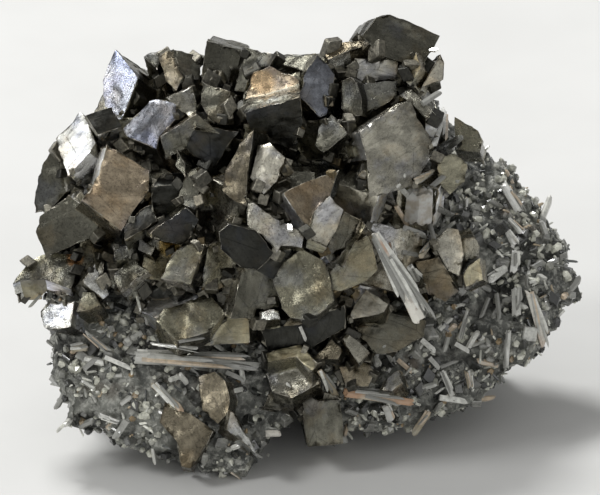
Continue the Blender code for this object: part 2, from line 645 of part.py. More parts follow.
ground_and_growth = surface_of(matrix, cluster)
for title, (first, last, widths, lifts) in PRISMS.items():
    shape = prism_column(ground_and_growth, first, last, widths, lifts)
    larger = shape.copy()
    grow(larger, GAP)
    add_object(title + "_pocket", larger, prism_pockets)
    add_object("quartz_" + title, shape, specimen, pale_quartz)

# Both are cut away round the prisms, and level with the ground.
GROUND_SIZE = 0.2
below = bmesh.new()
bmesh.ops.create_cube(below, size=GROUND_SIZE)
bmesh.ops.translate(below, verts=below.verts, vec=(0, 0, -GROUND_SIZE / 2))
add_block("below_ground", below, prism_pockets)
for solid in (matrix, cluster):
    cut_away(solid, prism_pockets)
    settle(solid)

# Crystals that the rock parts from the rest are pieces of their own, and crumbs are dropped.
SMALLEST_CRYSTAL = 3e-9


def copy_of_body(shape, body):
    """A new bmesh with only these faces of the shape."""
    kept = {face.index for face in body}
    copied = shape.copy()
    copied.faces.ensure_lookup_table()
    others = [face for face in copied.faces if face.index not in kept]
    bmesh.ops.delete(copied, geom=others, context="FACES")
    return copied


def part_from_rest(target, piece_name):
    shape = bmesh.new()
    shape.from_mesh(target.data)
    shape.faces.index_update()
    bodies = islands_of(shape)
    if piece_name:
        large = [body for body in bodies[1:] if body_volume(body) > SMALLEST_CRYSTAL]
        for count, body in enumerate(large, 1):
            name = f"{piece_name}_{count:02d}"
            add_object(name, copy_of_body(shape, body), specimen, target.data.materials[0])
    for body in bodies[1:]:
        bmesh.ops.delete(shape, geom=body, context="FACES")
    shape.to_mesh(target.data)
    shape.free()


part_from_rest(matrix, None)
part_from_rest(cluster, "arsenopyrite_crystal")

# The origin is under the middle of the whole specimen, on the ground.
reaches = [corner.co for item in specimen.objects for corner in item.data.vertices]
middle_x = (min(spot.x for spot in reaches) + max(spot.x for spot in reaches)) / 2
middle_y = (min(spot.y for spot in reaches) + max(spot.y for spot in reaches)) / 2
lowest = min(spot.z for spot in reaches)
for item in specimen.objects:
    item.data.transform(Matrix.Translation((-middle_x, -middle_y, -lowest)))
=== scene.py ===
import math
import random

import bmesh
import bpy
import numpy as np
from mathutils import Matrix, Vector, noise
from mathutils.bvhtree import BVHTree


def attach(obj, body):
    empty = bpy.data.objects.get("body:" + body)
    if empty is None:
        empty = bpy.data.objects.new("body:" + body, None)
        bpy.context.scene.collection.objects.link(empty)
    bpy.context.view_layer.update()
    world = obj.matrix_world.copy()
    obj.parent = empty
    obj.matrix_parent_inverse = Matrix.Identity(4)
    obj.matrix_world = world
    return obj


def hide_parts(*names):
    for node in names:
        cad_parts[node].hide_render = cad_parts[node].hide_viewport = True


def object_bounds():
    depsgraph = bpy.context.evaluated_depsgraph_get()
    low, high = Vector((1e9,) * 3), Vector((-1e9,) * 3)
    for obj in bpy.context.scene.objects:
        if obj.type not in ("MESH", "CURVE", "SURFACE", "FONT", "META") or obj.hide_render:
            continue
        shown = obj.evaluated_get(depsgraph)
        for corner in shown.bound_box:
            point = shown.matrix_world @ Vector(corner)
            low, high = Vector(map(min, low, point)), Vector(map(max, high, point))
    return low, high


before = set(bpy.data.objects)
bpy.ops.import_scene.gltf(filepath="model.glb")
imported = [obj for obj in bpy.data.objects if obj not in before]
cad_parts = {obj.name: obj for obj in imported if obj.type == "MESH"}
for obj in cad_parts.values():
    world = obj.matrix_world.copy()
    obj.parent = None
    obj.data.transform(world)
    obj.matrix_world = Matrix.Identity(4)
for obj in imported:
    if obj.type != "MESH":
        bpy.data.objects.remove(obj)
cad_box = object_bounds()

# The host rock: a grey-green, finely crystalline lump, broken off rough all round. It was there
# first, and everything else grew on it, so its helpers come first too. One closed mesh, worked up
# from the rock's solid, with hollows, ledges and grit of its own.
MM = 0.001
SPECIMEN_WIDTH = 75 * MM
POINTS_ACROSS = 572
POINT = SPECIMEN_WIDTH / POINTS_ACROSS
TIP_BACK = math.radians(25)
FRONT_CENTRE = (300, 246)
MIDDLE = Vector((0.03, -8.88, 27.6)) * MM
TO_RIGHT = Vector((1, 0, 0))
TO_TOP = Vector((0, math.sin(TIP_BACK), math.cos(TIP_BACK)))
TO_FRONT = Vector((0, -math.cos(TIP_BACK), math.sin(TIP_BACK)))
ROCK_EDGE = 0.65 * MM
HOLLOW_DEPTH = 2.0 * MM
HOLLOW_WIDTH = 5.5 * MM
LEDGE_HEIGHT = 0.7 * MM
LEDGE_WIDTH = 3.4 * MM
SMALL_LEDGE_WIDTH = 1.4 * MM
GRIT_HEIGHT = 0.3 * MM
GRIT_WIDTH = 0.9 * MM
FOOT_FADE = 1.2 * MM
CRYSTAL_NODES = [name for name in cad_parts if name.startswith("arsenopyrite")]
PRISM_NODES = [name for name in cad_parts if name.startswith("quartz")]


def spot(x, y, near=0.0):
    """The place at a point of the photograph, near millimetres in front of the middle plane."""
    across = (x - FRONT_CENTRE[0]) * POINT
    up = (FRONT_CENTRE[1] - y) * POINT
    return MIDDLE + TO_RIGHT * across + TO_TOP * up + TO_FRONT * (near * MM)


class Term:
    """A socket of a finish's nodes that takes part in sums."""

    def __init__(self, finish, socket):
        self.finish = finish
        self.socket = socket

    def sum_of(self, operation, *values):
        return self.finish.node("ShaderNodeMath", {"operation": operation}, *values)

    def __add__(self, other):
        return self.sum_of("ADD", self, other)

    def __sub__(self, other):
        return self.sum_of("SUBTRACT", self, other)

    def __rsub__(self, other):
        return self.sum_of("SUBTRACT", other, self)

    def __mul__(self, other):
        return self.sum_of("MULTIPLY", self, other)

    def between(self, low, high, start=0.0, end=1.0):
        """Runs smoothly from start to end while the value goes from low to high."""
        settings = {"interpolation_type": "SMOOTHSTEP"}
        return self.finish.node("ShaderNodeMapRange", settings, self, low, high, start, end)

    __radd__ = __add__
    __rmul__ = __mul__


class Finish:
    """A material and the nodes that make it."""

    def __init__(self, name, **shader_values):
        self.material = bpy.data.materials.new(name)
        self.material.use_nodes = True
        self.tree = self.material.node_tree
        self.shader = self.tree.nodes["Principled BSDF"]
        for socket, value in shader_values.items():
            self.shader.inputs[socket.replace("_", " ")].default_value = value

    def node(self, kind, settings, *values, out=0, **named):
        """Adds a node, sets it up and fills its sockets in order or by name."""
        made = self.tree.nodes.new(kind)
        for name, value in settings.items():
            setattr(made, name, value)
        filled = [(made.inputs[place], value) for place, value in enumerate(values)]
        filled += [(made.inputs[name.replace("_", " ")], value) for name, value in named.items()]
        for socket, value in filled:
            if isinstance(value, Term):
                self.tree.links.new(value.socket, socket)
            elif value is not None:
                socket.default_value = value
        return Term(self, made.outputs[out])

    def attribute(self, name, out="Fac"):
        return self.node("ShaderNodeAttribute", {"attribute_name": name}, out=out)

    def place(self, scale=(1, 1, 1), turn=(0, 0, 0)):
        """Where a point of the piece is, turned and then stretched by the scale."""
        point = self.node("ShaderNodeTexCoord", {}, out="Object")
        return self.node("ShaderNodeMapping", {}, point, (0, 0, 0), turn, scale)

    def grain(self, scale, detail=4.0, rough=0.55, where=None, bend=0.0):
        """Noise around 0.5, scale waves to a metre."""
        where = where or self.place()
        return self.node("ShaderNodeTexNoise", {}, where, None, scale, detail, rough, Distortion=bend)

    def mix(self, share, first, second, blend="MIX"):
        """The first colour turned into the second by the share."""
        made = self.tree.nodes.new("ShaderNodeMix")
        made.data_type = "RGBA"
        made.blend_type = blend
        for place, value in ((0, share), (6, first), (7, second)):
            if isinstance(value, Term):
                self.tree.links.new(value.socket, made.inputs[place])
            else:
                made.inputs[place].default_value = value if place == 0 else (*value, 1)
        return Term(self, made.outputs[2])

    def feed(self, socket, term):
        self.tree.links.new(term.socket, self.shader.inputs[socket])

    def bump(self, height, strength, distance):
        """Lets the height, in parts of the distance, tilt the surface."""
        self.feed("Normal", self.node("ShaderNodeBump", {}, strength, distance, Height=height))


def shape_of(*nodes):
    """The merged solid of some CAD nodes, with whole flat faces."""
    shape = bmesh.new()
    for node in nodes:
        shape.from_mesh(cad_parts[node].data)
    bmesh.ops.remove_doubles(shape, verts=shape.verts, dist=2e-7)
    bmesh.ops.dissolve_limit(shape, angle_limit=math.radians(0.4), verts=shape.verts, edges=shape.edges)
    return shape


def refine(shape, longest, rounds=6, keep=()):
    """Halves the edges that are longer than this over and over, but not those of the kept corners."""
    bmesh.ops.triangulate(shape, faces=shape.faces)
    kept = set(keep)
    for turn in range(rounds):
        long_edges = [
            edge for edge in shape.edges
            if edge.calc_length() > longest and not (edge.verts[0] in kept and edge.verts[1] in kept)
        ]
        bmesh.ops.subdivide_edges(shape, edges=long_edges, cuts=1)
        bmesh.ops.triangulate(shape, faces=[face for face in shape.faces if len(face.verts) > 3])


def raise_by(shape, height):
    """Moves every corner along its normal by height(corner), and returns the moves.

    Nothing leaves the box that the solids fill.
    """
    shape.normal_update()
    rises = [height(corner) for corner in shape.verts]
    low, high = cad_box
    for corner, rise in zip(shape.verts, rises):
        corner.co += corner.normal * rise
        for axis in range(3):
            corner.co[axis] = min(max(corner.co[axis], low[axis]), high[axis])
    return rises


def piece_from(shape, name, finish, nodes, sharp=math.radians(32)):
    """Makes the finished piece of a shape and lets it stand for its CAD nodes."""
    mesh = bpy.data.meshes.new(name)
    shape.to_mesh(mesh)
    shape.free()
    mesh.materials.append(finish.material)
    mesh.shade_smooth()
    mesh.set_sharp_from_angle(angle=sharp)
    piece = bpy.data.objects.new(name, mesh)
    bpy.context.scene.collection.objects.link(piece)
    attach(piece, "root")
    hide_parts(*nodes)
    return piece


def ledges(point, size):
    """Broken-rock relief from 0 to 1: the ridges between cells of this size."""
    near, far = noise.voronoi(point / size)[0][:2]
    return min(1.0, (far - near) * 1.6)


def rock_relief(corner):
    here = corner.co
    hollows = min(0.0, noise.fractal(here / HOLLOW_WIDTH, 0.9, 2.0, 3)) * HOLLOW_DEPTH
    steps = (ledges(here, LEDGE_WIDTH) - 0.8) * LEDGE_HEIGHT
    steps += (ledges(here, SMALL_LEDGE_WIDTH) - 0.6) * GRIT_HEIGHT
    grit = noise.fractal(here / GRIT_WIDTH, 0.8, 2.1, 3) * GRIT_HEIGHT
    off_ground = min(1.0, max(0.0, here.z / FOOT_FADE))
    return (hollows + steps + grit) * off_ground


rock = shape_of("matrix")
refine(rock, ROCK_EDGE)
rock_rises = raise_by(rock, rock_relief)
rock_finish = Finish("host_rock", Roughness=0.62)
patches = rock_finish.grain(160, 5).between(0.35, 0.65)
specks = rock_finish.grain(1100, 5, 0.7).between(0.44, 0.64)
stone = rock_finish.mix(patches, (0.06, 0.064, 0.058), (0.21, 0.215, 0.19))
stone = rock_finish.mix(specks * 0.8, stone, (0.5, 0.5, 0.45))
rust = rock_finish.grain(120, 3).between(0.6, 0.72)
stone = rock_finish.mix(rust * 0.3, stone, (0.16, 0.09, 0.04))
# Painted shade: the rock's colour turns near black where its relief sinks into hollows.
relief = rock_finish.attribute("relief").between(-1.5, 0.1, 0.75, 0.0)
stone = rock_finish.mix(relief, stone, (0.015, 0.015, 0.013))
rock_finish.feed("Base Color", stone)
rock_finish.feed("Roughness", rock_finish.grain(900, 3).between(0.3, 0.7, 0.25, 0.75))
rock_finish.bump(rock_finish.grain(1600, 6, 0.7), 0.7, 0.0005)
host_rock = piece_from(rock, "host_rock", rock_finish, ["matrix"])
relief_record = host_rock.data.attributes.new("relief", "FLOAT", "POINT")
relief_record.data.foreach_set("value", np.array(rock_rises, np.float32) / MM)

# The rock's druse: grains, small blocks and short grey to clear columns of the minerals that line
# it, standing every way and packed tight, most of all on the bare right side. Each kind is one
# joined mesh of closed crystals with their roots sunk in the rock.
GRAINS = 6500
BLOCKS = 900
NEEDLES = 3000
COLUMNS = 800
OPEN_REACH = 1.3 * MM
BARE_PATCH_SIZE = 4.5 * MM
BARE_BELOW = (-0.28, 0.0)
RIM_FACING = 0.3
RIM_SHARE = 0.4
SKIN = 0.05 * MM


def form_arrays(shape):
    """A closed template as arrays of corners and of triangles."""
    bmesh.ops.triangulate(shape, faces=shape.faces)
    shape.verts.index_update()
    corners = np.array([corner.co for corner in shape.verts])
    faces = np.array([[corner.index for corner in face.verts] for face in shape.faces])
    shape.free()
    return corners, faces


def grain_form(chance):
    """An angular grain, about one across."""
    shape = bmesh.new()
    bmesh.ops.create_icosphere(shape, subdivisions=1, radius=0.5)
    for corner in shape.verts:
        corner.co *= chance.uniform(0.75, 1.25)
    return form_arrays(shape)


def block_form(chance):
    """A slanted block with nicked edges, about one across."""
    shape = bmesh.new()
    bmesh.ops.create_cube(shape, size=0.85)
    slant = chance.uniform(0.1, 0.4)
    for corner in shape.verts:
        corner.co.x += corner.co.y * slant
        corner.co.z *= 1 + corner.co.x * chance.uniform(-0.3, 0.3)
    bmesh.ops.bevel(
        shape, geom=shape.edges, offset=0.06, segments=1, profile=0.5, affect="EDGES", material=-1,
    )
    return form_arrays(shape)


def column_form(chance):
    """A six-sided column one long, standing on its end, with a slanting tip."""
    shape = bmesh.new()
    bmesh.ops.create_cone(
        shape, cap_ends=True, segments=6, radius1=0.5, radius2=0.5, depth=1.0,
    )
    for corner in shape.verts:
        corner.co.z += 0.5 + (corner.co.x * chance.uniform(0.1, 0.3) if corner.co.z > 0 else 0)
        corner.co.y *= chance.uniform(0.7, 0.9)
    tip = [edge for edge in shape.edges if all(corner.co.z > 0.6 for corner in edge.verts)]
    bmesh.ops.bevel(
        shape, geom=tip, offset=0.14, segments=1, profile=0.5, affect="EDGES", material=-1,
    )
    return form_arrays(shape)


def picked_places(piece, count, rolls):
    """Places spread evenly over a piece, twice as close on its front, and the way each faces."""
    mesh = piece.data
    corners = np.empty(len(mesh.vertices) * 3)
    mesh.vertices.foreach_get("co", corners)
    triangles = np.empty(len(mesh.polygons) * 3, np.int32)
    mesh.polygons.foreach_get("vertices", triangles)
    first, second, third = corners.reshape(-1, 3)[triangles.reshape(-1, 3)].transpose(1, 0, 2)
    facing = np.cross(second - first, third - first)
    area = np.linalg.norm(facing, axis=1)
    facing /= np.maximum(area, 1e-12)[:, None]
    weight = area * (1 + (facing @ np.array(TO_FRONT) > 0.1))
    weight[first[:, 2] < 0.5 * MM] = 0
    chosen = rolls.choice(len(area), count, p=weight / weight.sum())
    share = rolls.random((count, 2))
    share[share.sum(1) > 1] = 1 - share[share.sum(1) > 1]
    along, across = second[chosen] - first[chosen], third[chosen] - first[chosen]
    return first[chosen] + along * share[:, :1] + across * share[:, 1:], facing[chosen]


def uncovered(points, facing, tree, reach):
    """Tells which places have nothing of the tree in front of them."""
    return np.array([
        tree.ray_cast(Vector(point), Vector(way), reach)[0] is None
        for point, way in zip(points, facing)
    ])


def standing_frames(facing, lean, rolls):
    """Turns for crystals that stand on a surface, leaning off its normal by these angles."""
    count = len(facing)
    aside = np.cross(facing, rolls.normal(size=(count, 3)))
    aside /= np.linalg.norm(aside, axis=1)[:, None]
    angle = rolls.uniform(*lean, count)[:, None]
    up = facing * np.cos(angle) + aside * np.sin(angle)
    over = np.cross(up, rolls.normal(size=(count, 3)))
    over /= np.linalg.norm(over, axis=1)[:, None]
    return np.stack([over, np.cross(up, over), up], axis=2)


def joined_crystals(name, forms, points, frames, sizes, finish, rolls):
    """One mesh of many crystals, each with a tone of its own."""
    kinds = rolls.integers(len(forms), size=len(points))
    corners, faces, tones, start = [], [], [], 0
    low, high = np.array(cad_box[0]), np.array(cad_box[1])
    for kind, (form, triangles) in enumerate(forms):
        mine = kinds == kind
        count = mine.sum()
        grown = np.einsum("nij,nvj->nvi", frames[mine], form * sizes[mine][:, None, :])
        grown += points[mine][:, None, :]
        corners.append(np.clip(grown, low, high).reshape(-1, 3))
        offsets = start + np.arange(count) * len(form)
        faces.append((triangles[None] + offsets[:, None, None]).reshape(-1, 3))
        tones.append(np.repeat(rolls.random(count), len(triangles)))
        start += count * len(form)
    mesh = bpy.data.meshes.new(name)
    mesh.from_pydata(np.concatenate(corners), [], np.concatenate(faces))
    tone = mesh.attributes.new("tone", "FLOAT", "FACE")
    tone.data.foreach_set("value", np.concatenate(tones).astype(np.float32))
    mesh.materials.append(finish.material)
    piece = bpy.data.objects.new(name, mesh)
    bpy.context.scene.collection.objects.link(piece)
    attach(piece, "root")
    return piece


def tree_of(nodes):
    shape = shape_of(*nodes)
    tree = BVHTree.FromBMesh(shape)
    shape.free()
    return tree


crystal_tree = tree_of(CRYSTAL_NODES)
chance = random.Random(3)
rolls = np.random.default_rng(3)
grain_forms = [grain_form(chance) for turn in range(6)]
block_forms = [block_form(chance) for turn in range(5)]
column_forms = [column_form(chance) for turn in range(5)]


def druse_finish(name, dark, pale, tinted, rough):
    """Glossy crystals, most of them dark to pale by their tone, and a few of a third colour."""
    finish = Finish(name, Specular_IOR_Level=0.8, Coat_Weight=0.6, Coat_Roughness=0.12)
    tone = finish.attribute("tone")
    colour = finish.mix(tone.between(0.15, 0.8), dark, pale)
    colour = finish.mix(tone.between(0.93, 0.95), colour, tinted)
    cloudy = finish.grain(1300, 4).between(0.35, 0.65, 0.0, 0.45)
    finish.feed("Base Color", finish.mix(cloudy, colour, dark))
    finish.feed("Roughness", finish.grain(900, 2).between(0.3, 0.7, rough, rough + 0.3))
    return finish


grain_finish = druse_finish(
    "druse_grains", (0.02, 0.021, 0.019), (0.74, 0.74, 0.63), (0.34, 0.25, 0.14), 0.12,
)
block_finish = druse_finish(
    "druse_blocks", (0.02, 0.021, 0.019), (0.32, 0.32, 0.29), (0.6, 0.6, 0.55), 0.15,
)
needle_finish = druse_finish(
    "druse_needles", (0.07, 0.075, 0.07), (0.92, 0.92, 0.82), (0.6, 0.48, 0.32), 0.12,
)
column_finish = druse_finish(
    "druse_columns", (0.2, 0.2, 0.18), (0.75, 0.75, 0.69), (0.6, 0.48, 0.34), 0.2,
)


def druse(name, forms, count, sink, lean, wide, tall, finish):
    """Scatters one kind of crystal over the open parts of the rock, less of it behind and at the rim."""
    points, facing = picked_places(host_rock, count, rolls)
    open_here = uncovered(points + facing * SKIN, facing, crystal_tree, OPEN_REACH)
    frontward = facing @ np.array(TO_FRONT)
    bare_below = np.where(frontward > -0.1, *BARE_BELOW)
    open_here &= [noise.noise(Vector(point) / BARE_PATCH_SIZE) for point in points] > bare_below
    at_rim = np.abs(frontward) < RIM_FACING
    open_here &= ~at_rim | (rolls.random(count) < RIM_SHARE)
    points, facing = points[open_here], facing[open_here]
    width = rolls.uniform(*wide, len(points)) ** 1.5
    sizes = np.stack([width, width * rolls.uniform(0.7, 1.1, len(points)), width], 1) * MM
    sizes[:, 2] = sizes[:, 0] * rolls.uniform(*tall, len(points))
    frames = standing_frames(facing, lean, rolls)
    joined_crystals(name, forms, points - facing * sink * MM, frames, sizes, finish, rolls)


druse("druse_grains", grain_forms, GRAINS, 0.0, (0, 1.5), (0.45, 1.2), (0.7, 1.6), grain_finish)
druse("druse_blocks", block_forms, BLOCKS, 0.1, (0, 1.2), (0.7, 1.6), (0.7, 1.5), block_finish)
druse("druse_needles", column_forms, NEEDLES, 0.1, (1.0, 1.5), (0.36, 0.62), (2.0, 4.6), needle_finish)
druse("druse_columns", column_forms, COLUMNS, 0.1, (1.15, 1.55), (0.6, 1.05), (1.6, 3.4), column_finish)

# The arsenopyrite crystals: blocky metal-bright crystals grown into each other, steel grey where
# fresh and tarnished olive, bronze and blue. Every flat face has its own colour, mostly a tarnished
# one, on some listed faces painted highlight or painted shade, and fine growth lines; edges are
# chipped and worn, partly pale with painted highlight, and small crystals fill the gaps between
# the big ones.
CRYSTAL_EDGE = 0.95 * MM
WORN_EDGE = 0.05 * MM
CHIP_DEPTH = 0.4 * MM
TERRACE = 0.16 * MM
FACE_WAVES = 0.06 * MM
GAP_PLACES = 9000
GAP_CRYSTALS = 1500
GAP_DEPTH = 5 * MM
GAP_OPENING = 1.2 * MM
CLEARANCE = 1.0 * MM
OVERGROWTH = 6000
OVERGROWTH_REACH = (0.3, 3.2)
BURIED = 0.15 * MM
# Each face's colour and gloss: tarnished colours, with painted highlights and painted shade among them.
TARNISHES_AND_PAINTED_LIGHT = {
    "steel": ((0.24, 0.23, 0.19), 0.27),
    "olive": ((0.20, 0.19, 0.14), 0.29),
    "brown": ((0.165, 0.145, 0.105), 0.29),
    "bronze": ((0.23, 0.19, 0.135), 0.30),
    "dark": ((0.10, 0.097, 0.078), 0.30),
    # painted shade: a near-black colour for faces that lie in shade
    "black": ((0.035, 0.035, 0.031), 0.36),
    "blue_grey": ((0.13, 0.136, 0.15), 0.28),
    # painted highlight: a pale silver colour for faces that catch a lamp
    "silver": ((0.60, 0.60, 0.56), 0.30),
    "mirror": ((0.27, 0.285, 0.315), 0.28),
    # partly fresh metal, partly painted highlight on faces that catch a lamp
    "bright": ((0.44, 0.42, 0.35), 0.34),
    "tan": ((0.36, 0.33, 0.23), 0.45),
    "worn": ((0.19, 0.18, 0.15), 0.36),
    # painted highlight: a near-white colour for faces that catch a lamp
    "lit": ((0.95, 0.94, 0.9), 0.42),
}
COMMON_TARNISHES = ["steel", "olive", "olive", "brown", "dark", "dark", "steel"]
# Faces that stand out in the photograph, found by a point of it that lies on them. On the
# near-white and silver faces the colour is painted highlight, on the bright ones partly fresh metal
# and partly painted highlight; on the near-black faces it is painted shade, and on the dark ones
# partly dark tarnished metal, partly painted shade.
KNOWN_FACES = {
    "mirror": [(112, 85)],
    "lit": [
        (97, 166), (82, 190), (79, 196), (85, 172), (289, 214), (358, 148), (160, 304), (379, 208),
        (58, 289), (433, 127), (439, 208), (322, 259), (67, 178), (109, 136), (370, 289),
    ],
    "silver": [
        (76, 142), (62, 315), (97, 283), (340, 67), (139, 289), (238, 430), (394, 334), (79, 322),
        (19, 292), (244, 448), (148, 319), (268, 316),
    ],
    "bright": [
        (325, 220), (268, 166), (391, 253), (451, 250), (391, 199), (412, 262), (400, 214),
        (274, 229), (355, 202), (379, 94), (367, 307), (376, 70), (229, 292), (436, 73),
    ],
    "bronze": [(118, 185), (270, 90), (312, 195)],
    "tan": [(40, 290), (412, 68), (270, 360), (302, 352), (472, 274), (232, 331)],
    "olive": [
        (190, 318), (305, 290), (185, 265), (52, 271), (391, 100), (355, 262), (277, 121),
        (451, 172), (217, 268),
    ],
    "steel": [(395, 150), (355, 345), (295, 378)],
    "blue_grey": [(151, 121), (319, 85), (343, 232)],
    "brown": [
        (330, 350), (435, 280), (358, 376), (172, 70), (214, 394), (100, 223), (343, 49), (238, 172),
    ],
    "dark": [
        (148, 80), (46, 175), (65, 222), (400, 40), (262, 285), (400, 325), (220, 65), (355, 165),
        (350, 235), (322, 424), (178, 136), (352, 97), (289, 187), (310, 169), (130, 274),
        (271, 97), (331, 133), (139, 97), (253, 67), (190, 190), (214, 100),
        (154, 58), (190, 64), (295, 61),
    ],
    "black": [
        (200, 140), (245, 248), (170, 232), (307, 331), (280, 120), (103, 121), (166, 199), (277, 262),
        (160, 223), (139, 220), (169, 178),
    ],
}
crystal_finish = Finish("arsenopyrite_faces", Metallic=1.0)
# The face colour: tarnished colours, and painted highlights and painted shade on the listed faces.
base = crystal_finish.attribute("tarnish", "Color")
gloss = crystal_finish.attribute("tarnish", "Alpha")
flat_place = crystal_finish.node("ShaderNodeUVMap", {"uv_map": "growth_lines"})
stretched = crystal_finish.node("ShaderNodeMapping", {}, flat_place, (0, 0, 0), (0, 0, 0), (1.1, 4.5, 1))
lines = crystal_finish.grain(4.0, 6, 0.7, stretched, 0.6)
blotches = crystal_finish.grain(260, 6, 0.65)
fine = crystal_finish.grain(3200, 5, 0.8)
cracks = crystal_finish.node(
    "ShaderNodeTexVoronoi", {"feature": "DISTANCE_TO_EDGE"},
    crystal_finish.node("ShaderNodeMapping", {}, flat_place, (0, 0, 0), (0, 0, 0.5), (0.8, 2.2, 1)),
    Scale=1.6, Randomness=1.0,
)
cracked = cracks.between(0.0, 0.009, 0.6, 1.0)
sweep = crystal_finish.grain(75, 1, 0.5).between(0.35, 0.65, 0.75, 1.3)
shade = blotches.between(0.3, 0.7, 0.78, 1.2) * lines.between(0.32, 0.68, 0.85, 1.12)
shade = shade * fine.between(0.34, 0.66, 0.8, 1.18) * cracked * sweep
grey = crystal_finish.node("ShaderNodeCombineColor", {}, shade, shade, shade)
bluish = crystal_finish.grain(170, 4, 0.6, crystal_finish.place(turn=(1.0, 0.4, 0))).between(0.5, 0.66)
brownish = crystal_finish.grain(190, 4, 0.6, crystal_finish.place(turn=(0.3, 1.4, 0))).between(0.48, 0.66)
coloured = crystal_finish.mix(brownish * 0.4, base, (1.1, 0.9, 0.66), "MULTIPLY")
coloured = crystal_finish.mix(bluish * 0.5, coloured, (0.8, 0.88, 1.25), "MULTIPLY")
coloured = crystal_finish.node("ShaderNodeVectorMath", {"operation": "MULTIPLY"}, coloured, grey)
# Pale colour along the worn edges: partly rubbed wear, partly a painted highlight on the crystal edges.
edge_wear_and_highlight = crystal_finish.attribute("wear") * crystal_finish.grain(420, 3, 0.6).between(0.48, 0.6)
coloured = crystal_finish.mix(edge_wear_and_highlight * 0.45, coloured, (0.5, 0.47, 0.4))
# Rust and gold stains: where each is in the photograph, its radius in millimetres and its colour.
STAINS = [
    (169, 247, 1.3, (0.55, 0.38, 0.12)), (242, 122, 1.0, (0.3, 0.12, 0.04)),
    (75, 258, 1.1, (0.32, 0.15, 0.05)), (352, 291, 1.3, (0.6, 0.46, 0.2)),
    (350, 433, 0.9, (0.6, 0.5, 0.15)), (262, 80, 1.6, (0.42, 0.3, 0.17)),
]
for x, y, reach, colour in STAINS:
    centre = crystal_tree.ray_cast(spot(x, y, 100), -TO_FRONT)[0] or spot(x, y)
    away = crystal_finish.node(
        "ShaderNodeVectorMath", {"operation": "DISTANCE"}, crystal_finish.place(), tuple(centre),
        out="Value",
    )
    ragged = away + (blotches * 3 + fine) * (reach * 0.5 * MM) - reach * MM
    stained = ragged.between(reach * 0.7 * MM, reach * 1.3 * MM, 0.75, 0.0)
    coloured = crystal_finish.mix(stained, coloured, colour)
crystal_finish.feed("Base Color", coloured)
crystal_finish.feed("Roughness", gloss + fine.between(0.3, 0.7, -0.12, 0.14))
waves = crystal_finish.grain(230, 2, 0.5)
crystal_finish.bump(lines * 0.05 + fine * 0.05 + waves + cracked * 0.04, 0.6, 0.0016)


def face_marks(shape, facet_of, chance):
    """The colour of every flat face, a tarnished colour or a painted highlight or painted shade, and the
    directions that its growth lines follow.
    """
    names = [chance.choice(COMMON_TARNISHES) for face in shape.faces]
    tree = BVHTree.FromBMesh(shape)
    for tarnish, points in KNOWN_FACES.items():
        for x, y in points:
            hit, slope, index, distance = tree.ray_cast(spot(x, y, 100), -TO_FRONT)
            if hit:
                names[index] = tarnish
    marks = np.zeros((len(names) + 1, 13))
    for face in shape.faces:
        colour, gloss = TARNISHES_AND_PAINTED_LIGHT[names[face.index]]
        light = chance.uniform(0.9, 1.1)
        longest = max(face.edges, key=lambda edge: edge.calc_length())
        way = (longest.verts[1].co - longest.verts[0].co).normalized()
        marks[face.index, :3] = [part * light for part in colour]
        marks[face.index, 3] = gloss * chance.uniform(0.85, 1.15)
        marks[face.index, 4:7] = face.calc_center_median()
        marks[face.index, 7:10] = way
        marks[face.index, 10:] = face.normal.cross(way)
        face[facet_of] = face.index
    marks[-1] = [*TARNISHES_AND_PAINTED_LIGHT["worn"][0], TARNISHES_AND_PAINTED_LIGHT["worn"][1], 0, 0, 0, 1, 0, 0, 0, 1, 0]
    return marks


def crystal_relief(facet_of, worn_number):
    """Low terraces on the faces, and chips along the worn edges."""
    def height(corner):
        here = corner.co
        seed = noise.voronoi(here / (2.6 * MM))[1][0]
        rise = (noise.cell(seed * 9.1) - 0.6) * TERRACE
        rise += noise.fractal(here / (1.1 * MM), 0.9, 2.0, 3) * FACE_WAVES
        if any(face[facet_of] == worn_number for face in corner.link_faces):
            chip = noise.fractal(here / (1.5 * MM), 0.8, 2.2, 3)
            rise -= max(0.0, chip) * CHIP_DEPTH
        return rise
    return height


def mark_faces(piece, facets, marks):
    """Stores each face's colour with its painted highlights and shade, its wear and the map of its growth
    lines.
    """
    mesh = piece.data
    tarnish = mesh.attributes.new("tarnish", "FLOAT_COLOR", "FACE")
    tarnish.data.foreach_set("color", marks[facets, :4].astype(np.float32).ravel())
    wear = mesh.attributes.new("wear", "FLOAT", "FACE")
    wear.data.foreach_set("value", (facets == len(marks) - 1).astype(np.float32))
    loops = np.empty(len(mesh.loops), np.int32)
    mesh.loops.foreach_get("vertex_index", loops)
    points = np.empty(len(mesh.vertices) * 3, np.float32)
    mesh.vertices.foreach_get("co", points)
    of_loop = np.repeat(facets, 3)
    offset = points.reshape(-1, 3)[loops] - marks[of_loop, 4:7]
    along = (offset * marks[of_loop, 7:10]).sum(1)
    across = (offset * marks[of_loop, 10:]).sum(1)
    flat = np.stack([along, across], 1) / (10 * MM) + (of_loop[:, None] * (0.37, 0.73)) % 7
    mesh.uv_layers.new(name="growth_lines").data.foreach_set("uv", flat.astype(np.float32).ravel())


rock_tree = tree_of(["matrix"])


